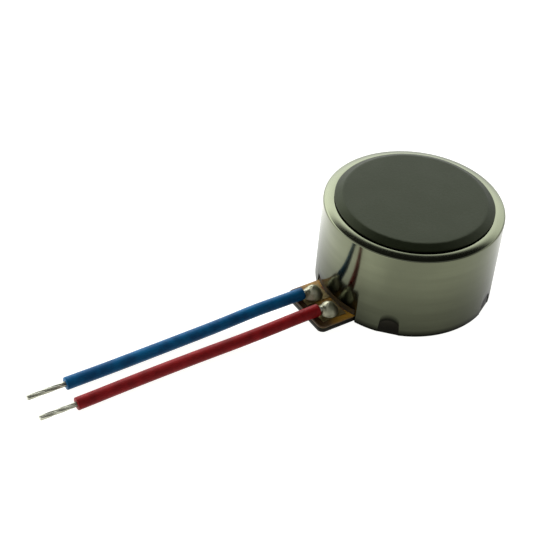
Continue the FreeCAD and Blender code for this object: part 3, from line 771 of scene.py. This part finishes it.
@dataclass
class Lead:
    """One short lead: a coloured sleeve over seven tinned strands, from its solder joint to its bare tip."""

    colour: str
    finish: Finish
    route: Sequence[Triple]
    sleeve_end: float
    sleeve_start: float = -6.42
    sleeve_radius: float = 0.345
    ease: float = 0.035
    flare: float = 1.006
    swell: float = 0.006
    swell_rate: float = 900.0
    look: float = 0.2
    bore: float = 0.150
    bore_end: float = 0.5
    rows: int = 130
    bore_rows: int = 24
    sides: int = 48
    strand_radius: float = 0.057
    strand_place: float = 0.088
    lay: float = 5.5
    spacing: float = 0.12

    def spline(self) -> Object:
        """Lay the lead's middle line through its route as a NURBS spline."""
        return draw_line("route_" + self.colour, "NURBS", self.route)

    def strands(self) -> None:
        """Make the conductor: six strands twisted round a seventh along the route."""
        recipe = Recipe("strands_" + self.colour, **{
            "Strand radius": self.strand_radius * MM, "Strand place": self.strand_place * MM, "Lay": self.lay * MM,
            "Around": 6, "Sides": 10, "Spacing": self.spacing * MM, "Material": TINNED.material()})
        bench, given = recipe.bench, recipe.given
        line = bench.get("GeometryNodeResampleCurve", {"Curve": recipe.start, "Length": given["Spacing"]},
                         mode="LENGTH")
        copies = bench.add("GeometryNodeDuplicateElements", {0: line, "Amount": given["Around"]},
                           domain="SPLINE").outputs
        run = bench.add("GeometryNodeSplineParameter").outputs["Length"]
        share = bench.number("DIVIDE", copies["Duplicate Index"], given["Around"])
        turn = bench.number("MULTIPLY", bench.number("ADD", share, bench.number("DIVIDE", run, given["Lay"])),
                            tau)
        normal = bench.get("GeometryNodeInputNormal")
        side = bench.arrow("CROSS_PRODUCT", bench.get("GeometryNodeInputTangent"), normal)
        way = bench.arrow("ADD", bench.arrow("SCALE", normal, bench.number("COSINE", turn)),
                          bench.arrow("SCALE", side, bench.number("SINE", turn)))
        moved = bench.get("GeometryNodeSetPosition", {
            0: copies[0], "Offset": bench.arrow("SCALE", way, given["Strand place"])})
        rods = recipe.rods(recipe.join(moved, line), "Strand radius")
        place_piece("conductor_" + self.colour, recipe.run(rods, self.spline()), TINNED, 35.0, STATOR,
                    "lead_conductor_" + self.colour)

    def stations(self, length: float) -> List[Tuple[float, float]]:
        """List how the insulation's section runs: out over its near end, along, in at its far end, and back inside.

        Args:
            length: how long it is, in metres.

        Returns:
            For each ring, how far along it is and its radius, in metres.
        """
        ease, radius, bore, inside = (v * MM for v in (self.ease, self.sleeve_radius, self.bore, self.bore_end))
        near = [(0.0, bore), (0.0, radius - ease * 1.4), (ease * 0.35, radius - ease * 0.5), (ease, radius)]
        along = [(s, radius) for s in np.linspace(ease * 3, length - ease * 3, self.rows)]
        far = [(length - ease, radius * self.flare), (length - ease * 0.35, radius - ease * 0.4),
               (length, radius - ease * 1.4), (length, bore)]
        return near + along + far + [(s, bore) for s in np.linspace(length - inside, inside, self.bore_rows)]

    def sleeve(self) -> None:
        """Run the insulation along the route, cut square at both ends, with its bore open."""
        line = plain_mesh(self.spline())
        path = np.array([v.co for v in line.vertices])
        bpy.data.meshes.remove(line)
        run = np.concatenate([[0], np.cumsum(np.linalg.norm(np.diff(path, axis=0), axis=1))])

        def at(place: float) -> np.ndarray:
            """Find the point that is this many metres along the line."""
            return np.array([np.interp(place, run, path[:, k]) for k in range(3)])

        begin, end = (float(np.interp(-x * MM, -path[:, 0], run)) for x in (self.sleeve_start, self.sleeve_end))
        radius = self.sleeve_radius * MM
        angles = np.linspace(0, tau, self.sides, endpoint=False)
        rings = []
        for station, size in self.stations(end - begin):
            here = begin + station
            ahead = at(here + self.look * MM) - at(here - self.look * MM)
            tangent = ahead / np.linalg.norm(ahead)
            side = np.cross(tangent, (0, 0, 1))
            side /= np.linalg.norm(side)
            above = np.cross(side, tangent)
            if size > self.bore * MM:
                size = min(size * (1 + self.swell * sin(station * self.swell_rate)), radius)
            rings.append(at(here) + size * (np.outer(np.cos(angles), side) + np.outer(np.sin(angles), above)))
        mesh = loft(rings, True)
        layer = mesh.uv_layers.new(name="along_lead")
        points = np.array([v.co for v in mesh.vertices])
        nearest = np.abs(points[:, None, 0] - path[None, :, 0]).argmin(1)
        off = points - path[nearest]
        for loop in mesh.loops:
            layer.data[loop.index].uv = (0.5 + 0.5 * off[loop.vertex_index][1] / radius,
                                         run[nearest[loop.vertex_index]] / MM)
        place_piece("sleeve_" + self.colour, mesh, self.finish, 40.0, STATOR,
                    "lead_insulation_" + self.colour)

    def build(self) -> None:
        """Make the lead's two pieces."""
        self.sleeve()
        self.strands()


# --- can


@dataclass
class CanShell:
    """Deep-drawn steel cup, open below, with a notch for the tab and two pairs for the base plate's ears.

    Each notch has its angle in degrees, the same on both sides of the tab's plane, its width, its height and the
    radius of its corners.
    """

    radius: float = 5.0
    height: float = 5.4
    wall: float = 0.25
    top: float = 0.3
    crown_width: float = 0.38
    crown_drop: float = 0.10
    crown_round: float = 1.5
    rim: float = 0.14
    rim_inside: float = 0.18
    lip: float = 0.05
    reach: float = 1.7
    columns: int = 540
    fillet_steps: int = 14
    notches: Sequence[Tuple[float, float, float, float]] = ((61.0, 1.14, 1.00, 0.57), (136.0, 1.14, 1.00, 0.57),
                                                            (180.0, 3.6, 0.85, 0.08))

    def section(self) -> Object:
        """Draw half the cup's section, from its inside middle round the lip to its outside middle.

        Returns:
            A curve whose points carry their corner's radius.
        """
        r, h, bore, inside = self.radius, self.height, self.radius - self.wall, self.height - self.top
        corners = [(0, inside, 0), (bore, inside, self.rim_inside), (bore, self.reach, 0), (bore, 0, self.lip),
                   (r, 0, self.lip), (r, self.reach, 0), (r, h - self.crown_drop, self.rim),
                   (r - self.crown_width, h, self.crown_round), (0, h, 0)]
        return draw_line("can_section", "POLY", [(x, 0, z, corner) for x, z, corner in corners])

    def lift(self, recipe: Recipe, turn: Socket) -> Socket:
        """Work out how high the cup's lower edge is at a place round it.

        Args:
            recipe: the tree.
            turn: the angle round the cup, from 0 to half a turn, the same on both sides of the tab's plane.

        Returns:
            The height's socket.
        """
        number = recipe.bench.number
        highest: Value = 0.0
        for index in range(len(self.notches)):
            angle, width, height, corner = (recipe.given[name] for name in self.names(index))
            away = number("SUBTRACT", turn, angle)
            off = number("ABSOLUTE", number("MULTIPLY", recipe.given["Radius"], number("SINE", away)))
            half = number("MULTIPLY", width, 0.5)
            past = number("MAXIMUM", 0.0, number("SUBTRACT", off, number("SUBTRACT", half, corner)))
            under = number("SUBTRACT", number("MULTIPLY", corner, corner), number("MULTIPLY", past, past))
            arch = number("ADD", number("SUBTRACT", height, corner), number("SQRT", number("MAXIMUM", 0.0, under)))
            near = number("LESS_THAN", off, half)
            ahead = number("GREATER_THAN", number("COSINE", away), 0.0)
            highest = number("MAXIMUM", highest, number("MULTIPLY", number("MULTIPLY", arch, near), ahead))
        return highest

    @staticmethod
    def names(index: int) -> List[str]:
        """Name the inputs that hold a notch's sizes."""
        return ["Notch %d %s" % (index, part) for part in ("angle", "width", "height", "corner")]

    def build(self) -> None:
        """Turn the section round the shaft's axis, with its lower edge following the notches."""
        sizes: Dict[str, Input] = {"Columns": self.columns, "Radius": self.radius * MM, "Reach": self.reach * MM,
                                   "Material": CAN_STEEL.material()}
        for index, (angle, *lengths) in enumerate(self.notches):
            sizes.update(zip(self.names(index), (radians(angle), *(v * MM for v in lengths))))
        recipe = Recipe("can_turned", **sizes)
        bench, number, given = recipe.bench, recipe.bench.number, recipe.given
        corner = bench.get("GeometryNodeInputRadius")
        rounded = bench.get("GeometryNodeFilletCurve", {0: recipe.start, "Radius": corner,
                                                        "Count": self.fillet_steps}, mode="POLY")
        points = bench.get("GeometryNodeCurveToPoints", {0: rounded}, mode="EVALUATED")
        rows = bench.add("GeometryNodeAttributeDomainSize", {0: points}, component="POINTCLOUD").outputs["Point Count"]
        grid = bench.get("GeometryNodeMeshGrid", {"Vertices X": number("ADD", given["Columns"], 1.0),
                                                  "Vertices Y": rows})
        index = bench.get("GeometryNodeInputIndex")
        row = number("MODULO", index, rows)
        column = number("FLOOR", number("DIVIDE", number("ADD", index, 0.5), rows))
        turn = number("DIVIDE", number("MULTIPLY", column, tau), given["Columns"])
        sample = bench.add("GeometryNodeSampleIndex", {0: points, "Index": row}, data_type="FLOAT_VECTOR")
        value = next(s for s in sample.inputs if s.name == "Value" and s.enabled)
        bench.tree.links.new(bench.get("GeometryNodeInputPosition"), value)
        out, _, level = bench.split(next(s for s in sample.outputs if s.enabled))
        wrapped = number("MODULO", number("ADD", turn, pi), tau)
        lift = self.lift(recipe, number("ABSOLUTE", number("SUBTRACT", wrapped, pi)))
        keep = number("MAXIMUM", 0.0, number("SUBTRACT", 1.0, number("DIVIDE", level, given["Reach"])))
        z = number("MULTIPLY_ADD", lift, keep, level)
        place = bench.combine(number("MULTIPLY", out, number("COSINE", turn)),
                              number("MULTIPLY", out, number("SINE", turn)), z)
        shaped = bench.get("GeometryNodeSetPosition", {0: grid, "Position": place})
        edge = bench.get("GeometryNodeStoreNamedAttribute", {
            0: shaped, "Name": "from_edge",
            "Value": number("MULTIPLY", number("SUBTRACT", z, lift), 1 / MM)}, data_type="FLOAT", domain="POINT")
        joined = bench.get("GeometryNodeMergeByDistance", {0: edge, "Distance": MERGE})
        mesh = settle(recipe.run(joined, self.section()))
        place_piece("can_shell", mesh, CAN_STEEL, 50.0, STATOR, "can")


# --- pad


@dataclass
class MountingPad:
    """Round foam pad with a soft, wide shoulder, on a film of glue."""

    radius: float = 4.42
    inset: float = 0.02
    low: float = 5.45
    high: float = 5.72
    foot: float = 0.06
    shoulder: float = 0.44
    shoulder_rows: int = 12
    fullness: float = 1.04
    wander: float = 0.012
    most_wander: float = 0.018
    ripple: float = 0.004
    face_rows: Sequence[float] = (3.85, 3.4, 2.2, 1.0, 0.02)
    seed: int = 7

    def build(self) -> None:
        """Turn the pad's section, then let its edge and face wander a little as cut foam does."""
        rng = np.random.default_rng(self.seed)
        waves = [(k, rng.uniform(0, tau), self.wander / k ** 0.7) for k in (2, 3, 5, 9, 17, 29)]
        angles = np.linspace(0, tau, 240, endpoint=False)
        wander = sum(size * np.sin(k * angles + phase) for k, phase, size in waves)
        edge, lift = self.radius - self.inset, self.low + self.foot
        # Each row: how far out, how high, and how much of the wander it takes.
        rows = [(self.face_rows[-1], self.low, 0.0), (edge - 0.10, self.low, 0.0), (edge - 0.03, self.low + 0.01, 0.7),
                (edge - 0.005, self.low + 0.03, 1.0), (edge, lift - 0.01, 1.0)]
        rows += [(edge - self.shoulder * share, lift + (self.high - lift) * min(share * self.fullness, 1),
                  1.0 - 0.7 * share) for share in np.linspace(0.05, 1, self.shoulder_rows)]
        rows += [(out, self.high, 0.0) for out in self.face_rows]
        rings = []
        for out, z, share in rows:
            size = (out + np.minimum(wander * share, self.most_wander)) * MM
            dip = self.ripple * share * np.sin(11 * angles + 1.7)
            rings.append(np.column_stack([size * np.cos(angles), size * np.sin(angles),
                                          np.minimum(z + dip, self.high) * MM]))
        pad = place_piece("pad_foam_disc", loft(rings, False), FOAM, 60.0, STATOR, "mounting_pad")
        dress(PAD_GLUE, "pad_adhesive")


# --- base and tab


@dataclass
class SolderHeap:
    """A hand-made joint heaped over the end of a conductor; side is 1 for the +Y lead and -1 for the other."""

    colour: str
    side: int
    place: Tuple[float, float] = (-5.72, 0.775)
    low: float = 0.5
    high: float = 1.12
    radius: float = 0.6
    wire_height: float = 0.85
    wire_radius: float = 0.135
    wire_cover: float = 0.03
    wire_skirt: float = 0.08
    fullness: float = 0.82
    hollow: float = 0.14
    sink: float = 1e-3
    shares: Sequence[float] = (1.0, 0.975, 0.94, 0.9, 0.85, 0.79, 0.72, 0.64, 0.55, 0.45, 0.35, 0.25, 0.15, 0.05)
    seed: int = 11

    def build(self) -> None:
        """Heap the joint up ring by ring, with a ridge over the conductor on the lead's side."""
        rng = np.random.default_rng(self.seed + self.side)
        angles = np.linspace(0, tau, 72, endpoint=False)
        foot = self.radius * (0.955 + 0.022 * np.sin(2 * angles + rng.uniform(0, 6)) +
                              0.014 * np.sin(3 * angles + rng.uniform(0, 6)))
        peak, skirt = self.high - self.low, self.wire_radius + self.wire_skirt
        x0, y0 = self.place[0], self.place[1] * self.side
        rings = []
        for share in self.shares:
            x, y = foot * share * np.cos(angles), foot * share * np.sin(angles)
            heap = peak * (1 - share ** 2.0) ** self.fullness * (1 - self.hollow * share)
            ridge = self.wire_height - self.low - 0.02 + (self.wire_radius + self.wire_cover) * np.sqrt(
                np.clip(1 - (y / skirt) ** 2, 0, 1))
            along = np.clip((-x - 0.05) / 0.3, 0, 1) * (np.abs(y) < skirt) * (share < 0.93)
            z = np.maximum(heap, ridge * along * np.clip((0.99 - share) / 0.12, 0, 1))
            z = np.minimum(z + 0.006 * np.sin(5 * angles + self.side) * (1 - share), peak)
            rings.append(np.column_stack([x0 + x, y0 + y, self.low + np.maximum(z, 0)]) * MM)
        under = rings[0].copy()
        under[:, 2] = (self.low - self.sink) * MM
        place_piece("solder_heap_" + self.colour, loft([under] + rings, False), SOLDER, 80.0, STATOR,
                    "solder_joint_" + self.colour)


@dataclass
class SealBead:
    """A bead of dark resin across the tab's root that fills the can's notch, with a thin foot on the film."""

    half: float = 1.7
    out: float = 4.93
    deep: float = 0.26
    low: float = 0.46
    high: float = 0.85
    squareness: float = 0.3
    foot: float = 0.085
    foot_high: float = 0.60
    foot_blur: float = 0.14
    limit: float = -5.1

    def build(self) -> None:
        """Run the bead's section along the can's curve."""
        angles = np.linspace(0, tau, 36, endpoint=False)
        across, up = (np.sign(v) * np.abs(v) ** self.squareness for v in (np.cos(angles), np.sin(angles)))
        level = (self.low + self.high) / 2 + (self.high - self.low) / 2 * up
        rings = []
        for step in np.linspace(-1, 1, 61):
            y = self.half * step
            foot = self.foot + 0.012 * sin(7 * step) + 0.008 * sin(17 * step + 1)
            fillet = foot * np.clip((self.foot_high - level) / self.foot_blur, 0, 1) ** 2
            middle = self.deep / 2 - sqrt(self.out ** 2 - y * y)
            x = middle + self.deep / 2 * across - np.where(np.cos(angles) < 0, fillet, 0)
            x = np.maximum(x, self.limit)
            rings.append(np.column_stack([x, np.full_like(x, y), level]) * MM)
        place_piece("seal_bead", loft(rings, False), SEAL, 50.0, STATOR, "tab_seal")


class TabAndBase:
    """The stamped base with its tongue and ears, the film circuit on it, the solder joints and the sealing bead."""

    def build(self) -> None:
        """Make the base, the film circuit, the joints and the bead."""
        eased_copy("base_stamped", "base_plate", BASE_STEEL, 0.03, STATOR)
        eased_copy("film_circuit", "flex_circuit", FILM, 0.015, STATOR)
        dress(FILM_GLUE, "flex_adhesive")
        dress(COPPER, "terminal_pads", "brush_pads")
        SolderHeap("blue", 1).build()
        SolderHeap("red", -1).build()
        SealBead().build()


# --- works inside


class StatorWorks:
    """What stands on the base inside the can: magnet, shaft, collar, brushes and washers."""

    def build(self) -> None:
        """Dress the fixed parts inside, and ease the magnet's and the brushes' edges."""
        eased_copy("magnet_plated", "magnet_ring", MAGNET, 0.05, STATOR)
        for colour in ("blue", "red"):
            eased_copy("brush_spring_" + colour, "brush_" + colour, BRUSH, 0.012, STATOR)
        dress(SHAFT, "shaft")
        dress(BRASS, "shaft_collar")
        dress(WASHER, "lower_thrust_washer", "upper_thrust_washer")


@dataclass
class Winding:
    """The turning part's two flat coils, wound turn by turn."""

    inner: float = 0.55
    outer: float = 1.3
    low: float = 2.52
    high: float = 3.92
    place: float = 3.05
    angle: float = 62.0
    wire: float = 0.035

    def sizes(self) -> Triple:
        """Return the middle line's inner and outer radius and the height between its end turns, in metres."""
        return ((self.inner + self.wire) * MM, (self.outer - self.wire) * MM,
                (self.high - self.low - 2 * self.wire) * MM)

    def build(self, name: str, side: int, node: str) -> None:
        """Wind one coil: turns up its outside and inside walls, a spiral over each face, and a core between.

        Args:
            name: the piece's name.
            side: 1 for the +Y coil, -1 for the other.
            node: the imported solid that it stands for.
        """
        inner, outer, height = self.sizes()
        recipe = Recipe("winding_" + name, **{
            "Inner radius": inner, "Outer radius": outer, "Height": height, "Wire radius": self.wire * MM, "Sides": 6,
            "Turns": (self.high - self.low) / (2 * self.wire) - 1,
            "Face turns": (self.outer - self.inner) / (2 * self.wire) - 1, "Steps": 44, "Material": WIRE.material()})
        bench, given = recipe.bench, recipe.given

        def spiral(turns: str, start: str, end: str, rise: Value) -> Socket:
            """Draw a spiral from the inputs with these names."""
            return bench.get("GeometryNodeCurveSpiral", {
                "Resolution": given["Steps"], "Rotations": given[turns], "Start Radius": given[start],
                "End Radius": given[end], "Height": rise})

        walls = [spiral("Turns", radius, radius, given["Height"]) for radius in ("Inner radius", "Outer radius")]
        face = spiral("Face turns", "Inner radius", "Outer radius", 0.0)
        upper = bench.get("GeometryNodeTransform", {0: face, "Translation": bench.combine(0, 0, given["Height"])})
        turns = recipe.rods(recipe.join(*walls, face, upper), "Wire radius")
        a = radians(self.angle) * side
        spot = (self.place * cos(a) * MM, self.place * sin(a) * MM, (self.low + self.wire) * MM)
        placed = bench.get("GeometryNodeTransform", {0: turns, "Translation": spot})
        mesh = recipe.run(recipe.join(placed, recipe.start), self.core(spot))
        place_piece(name, mesh, WIRE, 60.0, ROTOR, node)

    def core(self, spot: Triple) -> Object:
        """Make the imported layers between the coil's outside turns as one ring.

        Args:
            spot: the middle of the coil's lower turns.

        Returns:
            The ring, a draft object.
        """
        inner, outer, height = self.sizes()
        angles = np.linspace(0, tau, 64, endpoint=False)
        rings = [np.column_stack([spot[0] + out * np.cos(angles), spot[1] + out * np.sin(angles),
                                  np.full_like(angles, spot[2] + up)])
                 for out, up in ((inner, 0), (outer, 0), (outer, height), (inner, height))]
        return in_scene("core_draft", loft(rings, True))


@dataclass
class Rotor:
    """What turns on the shaft: board, commutator, bush, coils, moulded frame and counterweight."""

    winding: Winding = field(default_factory=Winding)

    def build(self) -> None:
        """Wind the coils, ease the weight's edges, and dress the rest."""
        self.winding.build("coil_winding_1", 1, "coil_1")
        self.winding.build("coil_winding_2", -1, "coil_2")
        eased_copy("weight_pressed", "counterweight", TUNGSTEN, 0.06, ROTOR)
        dress(MOULD, "rotor_mould")
        dress(BOARD, "rotor_board")
        dress(COPPER, "commutator_segments")
        dress(BUSH, "bearing_bush")


BLUE_ROUTE = ((-5.72, 0.775, 0.85), (-7.60, 0.775, 0.85), (-9.30, 1.00, 0.66), (-11.20, 1.12, 0.42),
              (-13.40, 1.14, 0.36), (-15.80, 1.12, 0.355), (-18.20, 1.09, 0.36), (-20.50, 1.12, 0.355),
              (-22.70, 1.12, 0.36))
RED_ROUTE = ((-5.72, -0.775, 0.85), (-7.60, -0.775, 0.85), (-9.30, -0.66, 0.66), (-11.20, -0.47, 0.42),
             (-13.40, -0.38, 0.36), (-15.80, -0.37, 0.355), (-18.20, -0.40, 0.36), (-20.55, -0.45, 0.355),
             (-22.75, -0.45, 0.36))


def main() -> None:
    """Build the studio and every sub-assembly."""
    logging.basicConfig(level=logging.INFO, format="%(name)s: %(message)s")
    studio = Studio()
    studio.camera()
    studio.floor()
    studio.light()
    Lead("blue", BLUE_SLEEVE, BLUE_ROUTE, -20.6).build()
    Lead("red", RED_SLEEVE, RED_ROUTE, -20.75).build()
    CanShell().build()
    MountingPad().build()
    TabAndBase().build()
    StatorWorks().build()
    Rotor().build()


if __name__ == "__main__":
    main()
